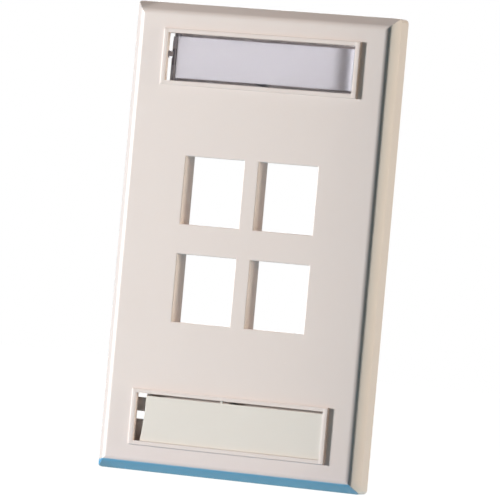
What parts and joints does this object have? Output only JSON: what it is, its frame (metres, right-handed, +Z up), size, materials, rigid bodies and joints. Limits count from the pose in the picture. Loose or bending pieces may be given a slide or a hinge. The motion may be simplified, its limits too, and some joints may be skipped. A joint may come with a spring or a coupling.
{
  "type": "keystone faceplate",
  "caption": "Single-gang wall plate with a bevelled rim, square snap-in jack ports, and a clear label window and a blank cover snapped into raised frames above and below the ports.",
  "frame": {"origin": "middle of the plate's back, in the wall's plane and half way between the two mounting screws", "axes": "+X right and +Z up as seen from the front; the front faces -Y and the wall is at y = 0, with +Y into the wall"},
  "size_m": [0.0698, 0.0222, 0.1142],
  "materials": {
    "plate_plastic": "moulded ivory ABS with a fine satin grain",
    "clear_plastic": "clear moulded polycarbonate",
    "label_paper": "plain smooth label stock",
    "cover_plastic": "moulded ivory ABS, slightly greyer than the plate",
    "screw_steel": "zinc-plated steel"
  },
  "bodies": {
    "plate": {"faceplate": "plate_plastic", "upper_screw": "screw_steel", "lower_screw": "screw_steel"},
    "window": {"upper_window": "clear_plastic", "upper_label": "label_paper"},
    "cover": {"lower_cover": "cover_plastic"}
  },
  "joints": [
    {"name": "window_lift", "type": "slide", "parent": "plate", "child": "window", "axis": [0, -1, 0], "range_m": [0, 0.012]},
    {"name": "cover_lift", "type": "slide", "parent": "plate", "child": "cover", "axis": [0, -1, 0], "range_m": [0, 0.012]}
  ]
}
